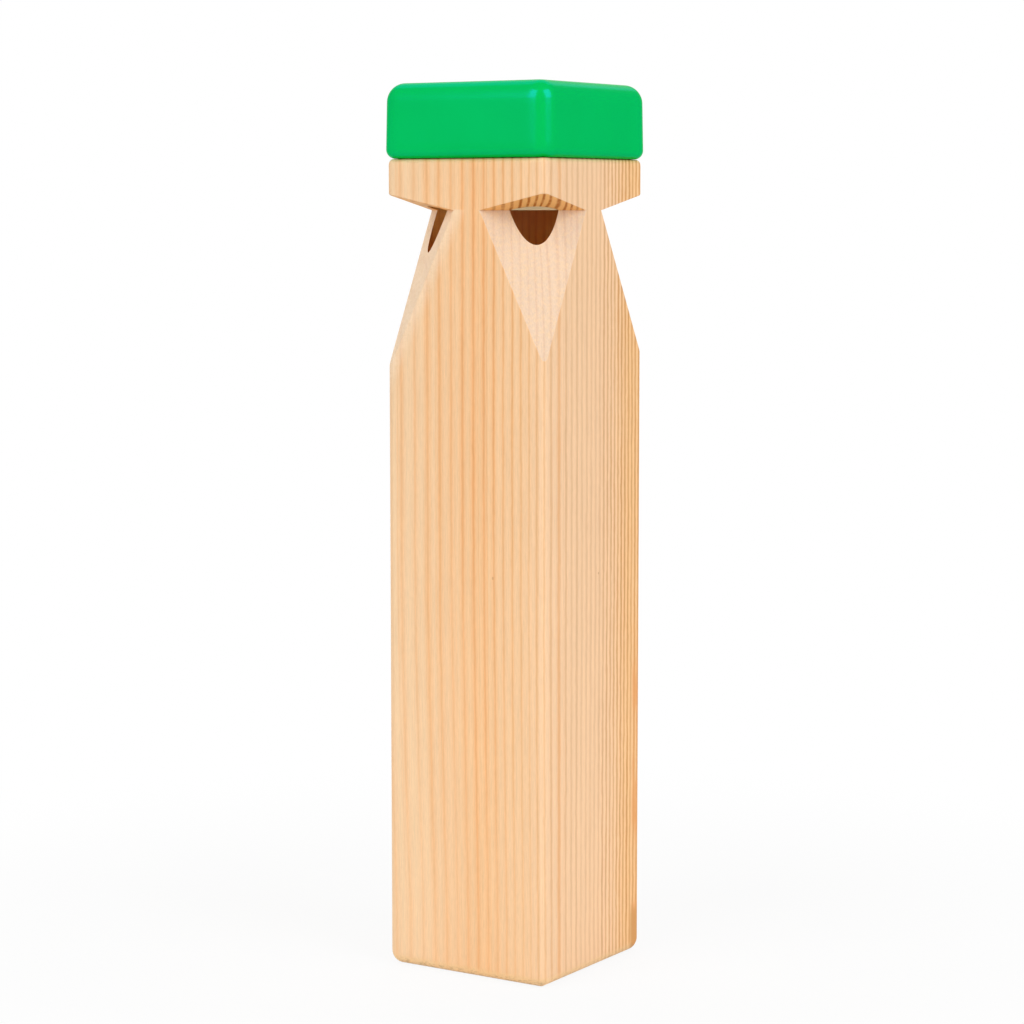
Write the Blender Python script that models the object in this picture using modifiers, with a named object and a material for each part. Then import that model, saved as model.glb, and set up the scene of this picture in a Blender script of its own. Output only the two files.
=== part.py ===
"""Wooden four-note train whistle: a square pine block with a sawn mouth on each upright edge,
four bores with flatted plugs, and a hollow plastic mouthpiece cap on a tenon.

Metres, +Z up, origin at the centre of the base. The front is -Y.
"""
import math

import bmesh
import bpy
from mathutils import Matrix, Vector

MM = 0.001

# Bores: one stopped pipe under each upright edge, a chord by their lengths
BORE_DIAMETER = 11.6 * MM
BORE_PITCH = 15.7 * MM
BASE_THICKNESS = 12.1 * MM
SECOND_NOTE = 6 / 5
THIRD_NOTE = 4 / 3
FOURTH_NOTE = 3 / 2

# Pine block: walls outside the bores, heights from the base
BLOCK_WALL = 3.85 * MM
SHOULDER_HEIGHT = 151.25 * MM
BLOCK_EDGE_ROUND = 2.0 * MM
BLOCK_BASE_ROUND = 2.8 * MM
BLOCK_SHOULDER_ROUND = 1.4 * MM

# Tenon on the block's top, which carries the cap
TENON_WALL = 2.35 * MM
TENON_HEIGHT = 6.5 * MM
TENON_EDGE_ROUND = 1.0 * MM

# Plugs: the flat leaves a windway of this height under the bore's outer wall
WINDWAY_HEIGHT = 2.1 * MM
FIT_GAP = 0.3 * MM

# Mouths, sawn by hand across the upright edges, each a little past the plug's flat.
# The ceiling rises and the slope drops from the level back line to the unrounded corner.
MOUTH_BELOW_SHOULDER = 9.15 * MM
MOUTH_CEILING_RISE = 3.1 * MM
FRONT_RIGHT_OVERCUT = 0.1 * MM
FRONT_RIGHT_SLOPE_DROP = 29.3 * MM
FRONT_LEFT_OVERCUT = 0.9 * MM
FRONT_LEFT_SLOPE_DROP = 31.1 * MM
BACK_LEFT_OVERCUT = 0.9 * MM
BACK_LEFT_SLOPE_DROP = 30.2 * MM
BACK_RIGHT_OVERCUT = 1.1 * MM
BACK_RIGHT_SLOPE_DROP = 29.0 * MM

# Mouthpiece cap, over the block on all sides, with a plenum between the tenon and its top
CAP_OVERHANG = 0.8 * MM
CAP_DRAFT = 0.13 * MM
PLENUM_HEIGHT = 5.0 * MM
CAP_TOP_THICKNESS = 2.6 * MM
CAP_EDGE_ROUND = 3.6 * MM
CAP_TOP_ROUND = 3.5 * MM
CAP_RIM_ROUND = 1.7 * MM
BLOW_HOLE_DIAMETER = 12.0 * MM

# Facets, and how far a cutter runs past what it cuts
EDGE_SEGMENTS = 5
CIRCLE_SEGMENTS = 40
CUT_MARGIN = 2.0 * MM

# Sizes that follow from the ones above; a reach is a distance from the axis along a diagonal
BORE_SPAN = BORE_PITCH + BORE_DIAMETER
BLOCK_SIDE = BORE_SPAN + 2 * BLOCK_WALL
TENON_SIDE = BORE_SPAN + 2 * TENON_WALL
TENON_TOP = SHOULDER_HEIGHT + TENON_HEIGHT
MOUTH_BACK_HEIGHT = SHOULDER_HEIGHT - MOUTH_BELOW_SHOULDER
LONGEST_PIPE = MOUTH_BACK_HEIGHT - BASE_THICKNESS
CORNER_REACH = BLOCK_SIDE / math.sqrt(2)
FLAT_REACH = BORE_PITCH / math.sqrt(2) + BORE_DIAMETER / 2 - WINDWAY_HEIGHT
CAP_SIDE = BLOCK_SIDE + 2 * CAP_OVERHANG
CAP_RIM = SHOULDER_HEIGHT + FIT_GAP
CAP_CEILING = TENON_TOP + PLENUM_HEIGHT
CAP_TOP = CAP_CEILING + CAP_TOP_THICKNESS

# Corners: side signs along X and Y, the mouth's overcut and slope drop, and the pipe's length
CORNERS = {
    "front_right": (1, -1, FRONT_RIGHT_OVERCUT, FRONT_RIGHT_SLOPE_DROP, LONGEST_PIPE),
    "front_left": (-1, -1, FRONT_LEFT_OVERCUT, FRONT_LEFT_SLOPE_DROP, LONGEST_PIPE / SECOND_NOTE),
    "back_left": (-1, 1, BACK_LEFT_OVERCUT, BACK_LEFT_SLOPE_DROP, LONGEST_PIPE / THIRD_NOTE),
    "back_right": (1, 1, BACK_RIGHT_OVERCUT, BACK_RIGHT_SLOPE_DROP, LONGEST_PIPE / FOURTH_NOTE),
}

for old_object in list(bpy.data.objects):
    bpy.data.objects.remove(old_object)

parts = bpy.data.collections.new("wooden_train_whistle")
cutters = bpy.data.collections.new("cutters")
bpy.context.scene.collection.children.link(parts)
bpy.context.scene.collection.children.link(cutters)


def make_material(name, color, roughness):
    """A Principled material with the part's colour and roughness."""
    material = bpy.data.materials.new(name)
    material.use_nodes = True
    shader = material.node_tree.nodes["Principled BSDF"]
    shader.inputs["Base Color"].default_value = (*color, 1.0)
    shader.inputs["Roughness"].default_value = roughness
    shader.inputs["Metallic"].default_value = 0.0
    return material


def add_part(name, mesh, material):
    """Put a mesh in the scene as a named sub-part, shaded smooth between its sharp edges."""
    mesh.materials.append(material)
    mesh.shade_smooth()
    mesh.set_sharp_from_angle(angle=math.radians(30))
    part = bpy.data.objects.new(name, mesh)
    parts.objects.link(part)
    return part


def add_cutter(name, mesh):
    """Put a mesh in the scene as a hidden helper for a Boolean."""
    cutter = bpy.data.objects.new(name, mesh)
    cutter.hide_render = True
    cutter.display_type = 'WIRE'
    cutters.objects.link(cutter)
    return cutter


def boolean(target, tool, operation='DIFFERENCE'):
    """Cut the tool from the target, or join it on."""
    modifier = target.modifiers.new(tool.name, 'BOOLEAN')
    modifier.operation = operation
    modifier.solver = 'EXACT'
    modifier.object = tool


def round_edges(target, largest_round):
    """Round the edges by their bevel weights, where a weight of 1 is the largest round."""
    modifier = target.modifiers.new("round_edges", 'BEVEL')
    modifier.limit_method = 'WEIGHT'
    modifier.width = largest_round
    modifier.segments = EDGE_SEGMENTS


def square_block(name, side, top_side, bottom, top, edge_round, bottom_round=0.0, top_round=0.0):
    """A square block between two heights, tapering from side to top_side, with a bevel weight on
    each edge for its round."""
    block = bmesh.new()
    bmesh.ops.create_cube(block, size=1.0)
    for vertex in block.verts:
        is_top = vertex.co.z > 0
        width = top_side if is_top else side
        vertex.co = Vector((vertex.co.x * width, vertex.co.y * width, top if is_top else bottom))

    largest_round = max(edge_round, bottom_round, top_round)
    weight = block.edges.layers.float.new("bevel_weight_edge")
    for edge in block.edges:
        heights = {vertex.co.z for vertex in edge.verts}
        radius = edge_round
        if len(heights) == 1:
            radius = top_round if max(heights) > (bottom + top) / 2 else bottom_round
        edge[weight] = radius / largest_round
    mesh = bpy.data.meshes.new(name)
    block.to_mesh(mesh)
    block.free()
    return mesh, largest_round


def cylinder(name, x, y, bottom, top, diameter):
    """An upright round bar."""
    bar = bmesh.new()
    place = Matrix.Translation((x, y, (bottom + top) / 2))
    bmesh.ops.create_cone(bar, cap_ends=True, segments=CIRCLE_SEGMENTS, radius1=diameter / 2,
                          radius2=diameter / 2, depth=top - bottom, matrix=place)
    mesh = bpy.data.meshes.new(name)
    bar.to_mesh(mesh)
    bar.free()
    return mesh


def extruded_outline(name, points, thickness, place):
    """A flat outline filled and extruded evenly to both sides, then moved to its place as a mesh."""
    curve = bpy.data.curves.new(name, 'CURVE')
    curve.dimensions = '2D'
    curve.fill_mode = 'BOTH'
    curve.extrude = thickness / 2
    spline = curve.splines.new('POLY')
    spline.points.add(len(points) - 1)
    for spline_point, (x, y) in zip(spline.points, points):
        spline_point.co = (x, y, 0.0, 1.0)
    spline.use_cyclic_u = True
    outline = bpy.data.objects.new(name, curve)
    parts.objects.link(outline)
    evaluated = outline.evaluated_get(bpy.context.evaluated_depsgraph_get())
    mesh = bpy.data.meshes.new_from_object(evaluated)
    bpy.data.objects.remove(outline)

    welded = bmesh.new()
    welded.from_mesh(mesh)
    bmesh.ops.remove_doubles(welded, verts=welded.verts, dist=0.001 * MM)
    bmesh.ops.transform(welded, matrix=place, verts=welded.verts)
    bmesh.ops.recalc_face_normals(welded, faces=welded.faces)
    welded.to_mesh(mesh)
    welded.free()
    return mesh


def upright_plane(sign_x, sign_y):
    """Axes of the upright plane through a corner: local x outwards on the diagonal, local y up."""
    outward = Vector((sign_x, sign_y, 0)).normalized()
    up = Vector((0, 0, 1))
    return Matrix((outward, up, outward.cross(up))).transposed().to_4x4()


def mouth_cutter(name, sign_x, sign_y, overcut, slope_drop):
    """The wedge that a mouth removes: its ceiling and its long slope meet in a level back line."""
    back_reach = FLAT_REACH - overcut
    depth = CORNER_REACH - back_reach
    outer_reach = CORNER_REACH + CUT_MARGIN
    stretch = (depth + CUT_MARGIN) / depth
    ceiling_end = MOUTH_BACK_HEIGHT + stretch * MOUTH_CEILING_RISE
    slope_end = MOUTH_BACK_HEIGHT - stretch * slope_drop
    triangle = [(back_reach, MOUTH_BACK_HEIGHT), (outer_reach, slope_end), (outer_reach, ceiling_end)]
    width = 2 * (depth + CUT_MARGIN)
    return extruded_outline(name, triangle, width, upright_plane(sign_x, sign_y))


def plug_outline():
    """A circle that fits the bore, cut by the flat that leaves the windway; local x is outwards."""
    radius = BORE_DIAMETER / 2 - FIT_GAP
    flat = BORE_DIAMETER / 2 - WINDWAY_HEIGHT
    half_angle = math.acos(flat / radius)
    sweep = 2 * math.pi - 2 * half_angle
    points = []
    for step in range(CIRCLE_SEGMENTS):
        angle = half_angle + sweep * step / (CIRCLE_SEGMENTS - 1)
        points.append((radius * math.cos(angle), radius * math.sin(angle)))
    return points


def make_whistle_body():
    """Rounded block with its tenon, cut by the four mouths and the four bores."""
    pine = make_material("pine", (0.87, 0.58, 0.33), 0.55)
    mesh, largest_round = square_block("whistle_body", BLOCK_SIDE, BLOCK_SIDE, 0.0, SHOULDER_HEIGHT,
                                       BLOCK_EDGE_ROUND, BLOCK_BASE_ROUND, BLOCK_SHOULDER_ROUND)
    body = add_part("whistle_body", mesh, pine)
    round_edges(body, largest_round)

    mesh, largest_round = square_block("tenon", TENON_SIDE, TENON_SIDE, SHOULDER_HEIGHT - CUT_MARGIN,
                                       TENON_TOP, TENON_EDGE_ROUND)
    tenon = add_cutter("tenon", mesh)
    round_edges(tenon, largest_round)
    boolean(body, tenon, 'UNION')

    for corner, (sign_x, sign_y, overcut, slope_drop, pipe) in CORNERS.items():
        mouth_name = "mouth_" + corner
        mouth = mouth_cutter(mouth_name, sign_x, sign_y, overcut, slope_drop)
        boolean(body, add_cutter(mouth_name, mouth))
        bore_name = "bore_" + corner
        bore = cylinder(bore_name, sign_x * BORE_PITCH / 2, sign_y * BORE_PITCH / 2,
                        MOUTH_BACK_HEIGHT - pipe, TENON_TOP + CUT_MARGIN, BORE_DIAMETER)
        boolean(body, add_cutter(bore_name, bore))


def make_fipple_plugs():
    """One plug in the top of each bore, its lower end level with the mouth's ceiling at the flat."""
    plug_plastic = make_material("plug_plastic", (0.80, 0.77, 0.68), 0.45)
    flat_depth = CORNER_REACH - FLAT_REACH
    for corner, (sign_x, sign_y, overcut, _, _) in CORNERS.items():
        bottom = MOUTH_BACK_HEIGHT + MOUTH_CEILING_RISE * overcut / (flat_depth + overcut)
        middle = (sign_x * BORE_PITCH / 2, sign_y * BORE_PITCH / 2, (bottom + TENON_TOP) / 2)
        turn = Matrix.Rotation(math.atan2(sign_y, sign_x), 4, 'Z')
        name = "fipple_plug_" + corner
        mesh = extruded_outline(name, plug_outline(), TENON_TOP - bottom, Matrix.Translation(middle) @ turn)
        add_part(name, mesh, plug_plastic)


def make_mouthpiece_cap():
    """Hollow square cap that stands on the block's shoulder, with a blow hole in its top."""
    green_plastic = make_material("green_plastic", (0.0, 0.53, 0.115), 0.22)
    mesh, largest_round = square_block("mouthpiece_cap", CAP_SIDE, CAP_SIDE - 2 * CAP_DRAFT, CAP_RIM,
                                       CAP_TOP, CAP_EDGE_ROUND, CAP_RIM_ROUND, CAP_TOP_ROUND)
    cap = add_part("mouthpiece_cap", mesh, green_plastic)
    round_edges(cap, largest_round)

    cavity_side = TENON_SIDE + 2 * FIT_GAP
    mesh, largest_round = square_block("cap_cavity", cavity_side, cavity_side, CAP_RIM - CUT_MARGIN,
                                       CAP_CEILING, TENON_EDGE_ROUND + FIT_GAP)
    cavity = add_cutter("cap_cavity", mesh)
    round_edges(cavity, largest_round)
    boolean(cap, cavity)
    blow_hole = cylinder("blow_hole", 0.0, 0.0, TENON_TOP, CAP_TOP + CUT_MARGIN, BLOW_HOLE_DIAMETER)
    boolean(cap, add_cutter("blow_hole", blow_hole))


make_whistle_body()
make_fipple_plugs()
make_mouthpiece_cap()
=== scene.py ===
"""Wooden four-note train whistle: a pine block, four plugs and a moulded mouthpiece cap.

Metres, +Z up, origin at the centre of the base and the front along -Y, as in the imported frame.
"""
import math
from collections import namedtuple

import bmesh
import bpy
import numpy as np
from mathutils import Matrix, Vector


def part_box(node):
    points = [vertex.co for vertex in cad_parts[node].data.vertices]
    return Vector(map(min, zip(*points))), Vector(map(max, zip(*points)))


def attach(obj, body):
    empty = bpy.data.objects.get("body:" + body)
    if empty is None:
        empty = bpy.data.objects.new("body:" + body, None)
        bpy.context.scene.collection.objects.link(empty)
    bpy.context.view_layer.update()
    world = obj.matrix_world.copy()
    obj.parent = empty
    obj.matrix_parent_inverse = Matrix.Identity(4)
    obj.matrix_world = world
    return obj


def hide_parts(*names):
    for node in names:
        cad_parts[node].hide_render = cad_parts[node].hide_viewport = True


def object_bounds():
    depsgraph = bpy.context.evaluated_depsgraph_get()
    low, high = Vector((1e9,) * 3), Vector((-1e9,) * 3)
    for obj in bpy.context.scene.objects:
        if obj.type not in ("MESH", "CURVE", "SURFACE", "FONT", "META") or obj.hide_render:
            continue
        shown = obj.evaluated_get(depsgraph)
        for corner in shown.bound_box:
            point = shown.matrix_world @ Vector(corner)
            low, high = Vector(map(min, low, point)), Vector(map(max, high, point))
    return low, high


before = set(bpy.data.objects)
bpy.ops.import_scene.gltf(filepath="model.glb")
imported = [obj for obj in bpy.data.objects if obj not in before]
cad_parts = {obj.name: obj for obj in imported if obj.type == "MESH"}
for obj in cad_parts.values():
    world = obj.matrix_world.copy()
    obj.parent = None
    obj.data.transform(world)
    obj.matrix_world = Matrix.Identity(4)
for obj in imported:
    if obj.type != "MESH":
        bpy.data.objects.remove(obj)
cad_low, cad_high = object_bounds()

MM = 0.001
DIAGONAL = math.sqrt(2)

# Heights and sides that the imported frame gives
block_low, block_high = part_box("whistle_body")
cap_low, cap_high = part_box("mouthpiece_cap")
BLOCK_HALF = (block_high.x - block_low.x) / 2
TENON_TOP = block_high.z
CAP_HALF = (cap_high.x - cap_low.x) / 2
CAP_RIM = cap_low.z
CAP_TOP = cap_high.z

# Pine block
FIT_GAP = 0.3 * MM
SHOULDER = CAP_RIM - FIT_GAP
HEAD_TOP = CAP_RIM - 0.06 * MM
BASE_INSET = 2.2 * MM
BASE_RISE = 2.5 * MM
SHOULDER_ROUND = 1.1 * MM
CORNER_TIGHTENING = 0.85
TENON_HALF = 16.0 * MM
TENON_EDGE_ROUND = 1.0 * MM

# Bores and the mouths sawn across the upright edges. A mouth shows once it is past the upright round's own
# small turn to each side of the diagonal.
PLAIN_TURN = math.radians(5)
BORE_DIAMETER = 11.6 * MM
BORE_OFFSET = 7.85 * MM
WINDWAY_HEIGHT = 2.1 * MM
MOUTH_BACK = SHOULDER - 9.15 * MM
MOUTH_CEILING_RISE = 3.1 * MM
LONGEST_PIPE = 130.0 * MM
FLAT_DEPTH = (BLOCK_HALF - BORE_OFFSET) * DIAGONAL - BORE_DIAMETER / 2 + WINDWAY_HEIGHT
SLOPE_ARRIS = 0.35 * MM
CEILING_ARRIS = 0.8 * MM
LARGEST_ARRIS_SHARE = 0.8
LIP_SHARE = 0.35

# Corners anticlockwise from the near one: overcut past the plug's flat, slope drop, pipe length, round of
# the upright edge, and how far the bore drifted from its mark along X and Y
Corner = namedtuple("Corner", "overcut drop pipe edge drift")
CORNERS = {
    "front_right": Corner(0.0, 28.2 * MM, LONGEST_PIPE, 1.1 * MM, (0.22 * MM, 0.08 * MM)),
    "back_right": Corner(1.1 * MM, 29.0 * MM, LONGEST_PIPE * 2 / 3, 2.0 * MM, (0.1 * MM, -0.1 * MM)),
    "back_left": Corner(0.9 * MM, 30.2 * MM, LONGEST_PIPE * 3 / 4, 2.0 * MM, (0.1 * MM, 0.0)),
    "front_left": Corner(0.9 * MM, 31.1 * MM, LONGEST_PIPE * 5 / 6, 2.0 * MM, (0.2 * MM, 0.2 * MM)),
}

# Mouthpiece cap
CAP_EDGE_ROUND = 3.6 * MM
CAP_TOP_ROUND = 3.5 * MM
CAP_RIM_ROUND = 1.7 * MM
CAP_DRAFT = 0.13 * MM
CAVITY_HALF = TENON_HALF + FIT_GAP
CAVITY_EDGE_ROUND = TENON_EDGE_ROUND + FIT_GAP
CAVITY_TOP = CAP_TOP - 2.6 * MM
BLOW_HOLE_RADIUS = 6.0 * MM
BLOW_HOLE_ROUND = 0.8 * MM

# Plugs
PLUG_RADIUS = BORE_DIAMETER / 2 - FIT_GAP
PLUG_FLAT = BORE_DIAMETER / 2 - WINDWAY_HEIGHT
PLUG_END_ROUND = 0.3 * MM
PLUG_LIFT = {"front_left": 0.9 * MM}

# Camera: its turn and height, as the photograph's perspective gives them
CAMERA_TURN = math.radians(32.8654)
CAMERA_RISE = math.radians(6.1355)
CAMERA_DISTANCE = 531.4 * MM
CAMERA_AIM_RIGHT = -0.69 * MM
CAMERA_AIM_HEIGHT = 85.54 * MM
CAMERA_LENS = 99.085
CAMERA_SENSOR = 36.0
CAMERA_NEAR = 0.01

# Lights: their distance in metres, and the share of the object's height that they aim at
LIGHT_DISTANCE = 1.5
LIGHT_AIM_SHARE = 0.4

# Angles in degrees past which an edge is drawn sharp
BLOCK_SHARP_ANGLE = 22
MOULDED_SHARP_ANGLE = 35


# Meshes from grids

def ring_faces(rows, columns, closed_rows=False):
    """Quads of a grid whose columns close on themselves, with rows that may close too."""
    row = np.arange(rows if closed_rows else rows - 1)[:, None]
    column = np.arange(columns)[None, :]
    next_row = (row + 1) % rows
    next_column = (column + 1) % columns
    corners = (row * columns + column, row * columns + next_column,
               next_row * columns + next_column, next_row * columns + column)
    return np.stack(np.broadcast_arrays(*corners), axis=-1).reshape(-1, 4)


def grid_mesh(name, grid, closed_rows=False):
    """Mesh of a (rows, columns, 3) grid. Open ends are closed by a pole in the middle of the end row."""
    rows, columns, _ = grid.shape
    points = grid.reshape(-1, 3)
    faces = ring_faces(rows, columns, closed_rows).tolist()
    if not closed_rows:
        column = np.arange(columns)
        next_column = (column + 1) % columns
        low_pole = np.full(columns, len(points))
        last = (rows - 1) * columns
        faces += np.stack((low_pole, next_column, column), axis=1).tolist()
        faces += np.stack((low_pole + 1, last + column, last + next_column), axis=1).tolist()
        points = np.concatenate((points, grid[0].mean(0)[None], grid[-1].mean(0)[None]))
    mesh = bpy.data.meshes.new(name)
    mesh.from_pydata(points.tolist(), [], faces)
    mesh.validate()
    return mesh


def carried_up(plan, height):
    """Grid of a (rows, columns, 2) plan with each row at its own height."""
    heights = np.broadcast_to(height[:, None, None], plan.shape[:2] + (1,))
    return np.concatenate((plan, heights), axis=2)


def add_piece(name, mesh, node, material, sharp_angle):
    """Put a finished mesh in the scene for a node of the frame, smooth between its sharp edges."""
    mesh.shade_smooth()
    mesh.set_sharp_from_angle(angle=math.radians(sharp_angle))
    mesh.materials.clear()
    mesh.materials.append(material)
    piece = bpy.data.objects.new(name, mesh)
    bpy.context.scene.collection.objects.link(piece)
    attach(piece, "root")
    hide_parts(node)
    return piece


# Pine block

def quarter_turn(steps):
    """Angles from 0 to a right angle, both ends included."""
    return np.linspace(0.0, math.pi / 2, steps)


def lip_round(mouth):
    """The round that carries a mouth's ceiling into its upright edge: its radius, the ceiling's angle, the
    height at which ceiling and edge would meet, and how far the round reaches from there."""
    depth = FLAT_DEPTH + mouth.overcut
    radius = LIP_SHARE * mouth.edge
    angle = math.atan2(MOUTH_CEILING_RISE, depth)
    meeting = MOUTH_BACK + MOUTH_CEILING_RISE * (1 - mouth.edge * (DIAGONAL - 1) / depth)
    return radius, angle, meeting, radius * math.tan((math.pi / 2 - angle) / 2)


def mouth_depth(height, mouth):
    """How far a mouth cuts in from the unrounded corner at each height, along the diagonal: most at
    the level back line, falling in a line down the slope and up the ceiling, then in a quarter round into
    the upright edge, and never below nothing."""
    depth = FLAT_DEPTH + mouth.overcut
    down_slope = depth * (1 - (MOUTH_BACK - height) / mouth.drop)
    up_ceiling = depth * (1 - (height - MOUTH_BACK) / MOUTH_CEILING_RISE)
    radius, angle, meeting, reach = lip_round(mouth)
    to_go = np.clip(meeting + reach - height, 0.0, radius)
    round_lip = mouth.edge * (DIAGONAL - 1) + radius - np.sqrt(radius ** 2 - to_go ** 2)
    ceiling = np.where(height > meeting - reach * math.sin(angle), round_lip, up_ceiling)
    ceiling = np.where(height < meeting + reach, ceiling, 0.0)
    return np.maximum(np.where(height <= MOUTH_BACK, down_slope, ceiling), 0.0)


def half_corner(depth, edge_round, arris):
    """Half of a corner's outline at each row, from the face to the diagonal, as (sideways, outwards)
    from the unrounded corner: a short run on the face, the round of the upright edge, the small round
    of the sawn arris, and the flat of the mouth. Rows without a mouth stay on the upright round."""
    round_steps, arris_steps, flat_steps = 8, 4, 6
    face_run = 0.45 * MM
    eighth = math.pi / 4
    depth, edge_round, arris = (values[:, None] for values in (depth, edge_round, arris))

    cosine = (edge_round * DIAGONAL - depth - arris) / (edge_round - arris)
    is_plain = cosine > math.cos(PLAIN_TURN)
    turn = np.arccos(np.clip(cosine, math.cos(eighth), math.cos(PLAIN_TURN)))
    is_deep = cosine < math.cos(eighth)
    lead = arris * math.tan(eighth / 2)
    arris_side = np.where(is_deep, lead - depth, -(edge_round - arris) * np.sin(turn))
    tangent = np.where(is_deep, -depth - lead / DIAGONAL, -edge_round / DIAGONAL)

    step = np.arange(round_steps)[None, :] / round_steps
    travelled = step * (face_run + edge_round * (eighth - turn))
    before_round = np.maximum(face_run - travelled, 0.0) / DIAGONAL
    angle = -eighth + np.maximum(travelled - face_run, 0.0) / edge_round
    start_side = tangent - before_round + edge_round * (np.sin(angle) + 1 / DIAGONAL)
    start_out = tangent - before_round + edge_round * (np.cos(angle) - 1 / DIAGONAL)

    angle = -turn * (1 - np.arange(arris_steps)[None, :] / arris_steps)
    arris_out = -depth - arris + arris * np.cos(angle)
    arris_run = arris_side + arris * np.sin(angle)
    step = np.arange(flat_steps + 1)[None, :] / flat_steps
    flat_run = arris_side * (1 - step)
    flat_out = np.broadcast_to(-depth, flat_run.shape)

    plain_angle = -PLAIN_TURN * (1 - np.arange(arris_steps + flat_steps + 1)[None, :]
                                 / (arris_steps + flat_steps))
    plain_side = edge_round * np.sin(plain_angle)
    plain_out = edge_round * (np.cos(plain_angle) - DIAGONAL)
    end_side = np.where(is_plain, plain_side, np.concatenate((arris_run, flat_run), axis=1))
    end_out = np.where(is_plain, plain_out, np.concatenate((arris_out, flat_out), axis=1))
    return np.concatenate((start_side, end_side), axis=1), np.concatenate((start_out, end_out), axis=1)


def block_rows():
    """Height, half side, share of the upright round and mouth switch of each row, up the block from its
    base to its shoulder. A quarter ellipse carries the side into the base and a quarter circle into the
    shoulder, and the upright round tightens with them."""
    base_steps, shank_steps, slope_steps, ceiling_steps, head_steps, top_steps = 10, 24, 26, 14, 6, 8
    base = quarter_turn(base_steps)
    base_inset = 1 - np.sin(base)
    base_height = BASE_RISE * (1 - np.cos(base))

    mouths = CORNERS.values()
    feet = np.concatenate([foot_heights(mouth) for mouth in mouths])
    slope = np.linspace(feet.max(), MOUTH_BACK, slope_steps)[1:-1]
    lips = np.concatenate([lip_heights(mouth) for mouth in mouths])
    ceiling = np.linspace(MOUTH_BACK, lips.min(), ceiling_steps)
    below_back = MOUTH_BACK - 0.05 * MM
    shank = np.concatenate((np.linspace(BASE_RISE, feet.min(), shank_steps)[1:-1], feet, slope,
                            [below_back], ceiling, lips,
                            np.linspace(lips.max(), HEAD_TOP - SHOULDER_ROUND, head_steps)[1:-1]))
    shank = np.unique(np.round(shank / MM, 2)) * MM

    top = quarter_turn(top_steps)
    top_inset = 1 - np.cos(top)
    top_height = HEAD_TOP - SHOULDER_ROUND * (1 - np.sin(top))

    inner_base = np.array([0.35, 0.7]) * (BLOCK_HALF - BASE_INSET)
    height = np.concatenate((np.zeros(2), base_height, shank, top_height))
    half = np.concatenate((inner_base, BLOCK_HALF - BASE_INSET * base_inset, np.full(len(shank), BLOCK_HALF),
                           BLOCK_HALF - SHOULDER_ROUND * top_inset))
    tightening = np.concatenate((np.ones(2), base_inset, np.zeros(len(shank)), top_inset))
    has_mouth = (half == BLOCK_HALF).astype(float)
    return height, half, 1 - CORNER_TIGHTENING * tightening, has_mouth


def round_depths(edge):
    """Depths over which a mouth cuts only the upright round, spaced by equal turns of that round."""
    steps = 10
    turn = np.linspace(PLAIN_TURN, math.pi / 4, steps)
    return edge * (DIAGONAL - np.cos(turn))


def foot_heights(mouth):
    """Heights at which a mouth's slope runs out through the upright round."""
    return MOUTH_BACK - mouth.drop * (1 - round_depths(mouth.edge) / (FLAT_DEPTH + mouth.overcut))


def lip_heights(mouth):
    """Heights at which a mouth's ceiling runs out through the upright round, and those of its lip's round
    at equal turns."""
    run_out = MOUTH_CEILING_RISE * (1 - round_depths(mouth.edge) / (FLAT_DEPTH + mouth.overcut))
    steps = 10
    radius, angle, meeting, reach = lip_round(mouth)
    turn = np.linspace(angle, math.pi / 2, steps)
    return np.concatenate((MOUTH_BACK + run_out, meeting + reach - radius * np.cos(turn)))


def block_grid():
    """The block as a grid: at each height a square outline whose corners are half corners and their
    mirror images, turned a quarter for each corner, joined by straight runs over the faces. The tenon's
    rows follow on top, with one small upright round."""
    face_steps = 9
    height, half, edge_share, has_mouth = block_rows()
    tenon_share = np.array([1.0, 1.0, 1.0, 1.0, 0.6, 0.25])
    tenon_height = np.array([0.0, 0.3, 0.7, 1.0, 1.0, 1.0]) * (TENON_TOP - HEAD_TOP) + HEAD_TOP
    height = np.concatenate((height, tenon_height))
    half = np.concatenate((half, tenon_share * TENON_HALF))
    has_mouth = np.concatenate((has_mouth, np.zeros(len(tenon_share))))
    corners = []
    for number, mouth in enumerate(CORNERS.values()):
        depth = mouth_depth(height, mouth) * has_mouth
        edge = np.concatenate((edge_share * mouth.edge, tenon_share * TENON_EDGE_ROUND))
        arris = np.where(height > MOUTH_BACK, CEILING_ARRIS, SLOPE_ARRIS)
        side, out = half_corner(depth, edge, np.minimum(arris, LARGEST_ARRIS_SHARE * edge))
        side = np.concatenate((side, -side[:, -2::-1]), axis=1)
        out = np.concatenate((out, out[:, -2::-1]), axis=1)
        x = half[:, None] + (out + side) / DIAGONAL
        y = -half[:, None] + (side - out) / DIAGONAL
        turn = number * math.pi / 2
        turned_x = x * round(math.cos(turn)) - y * round(math.sin(turn))
        turned_y = x * round(math.sin(turn)) + y * round(math.cos(turn))
        corners.append(np.stack((turned_x, turned_y), axis=-1))

    outline = []
    step = (np.arange(1, face_steps + 1) / (face_steps + 1))[None, :, None]
    for corner, following in zip(corners, corners[1:] + corners[:1]):
        start = corner[:, -1:]
        end = following[:, :1]
        outline += [corner, start + (end - start) * step]
    return carried_up(np.concatenate(outline, axis=1), height)


def bore_grid(x, y, bottom):
    """A round bar for a bore: a circle of points at a few heights, from the pipe's end to past the top."""
    sides, rows, past_top = 96, 6, 2.0 * MM
    angle = np.linspace(0.0, 2 * math.pi, sides, endpoint=False)
    height = np.linspace(bottom, TENON_TOP + past_top, rows)
    radius = BORE_DIAMETER / 2
    plan = np.stack((x + radius * np.cos(angle), y + radius * np.sin(angle)), axis=-1)
    return carried_up(np.broadcast_to(plan[None], (rows,) + plan.shape), height)


def corner_signs(name):
    """Side signs of a corner along X and Y, from its name."""
    return (1 if name.endswith("right") else -1), (-1 if name.startswith("front") else 1)


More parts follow.
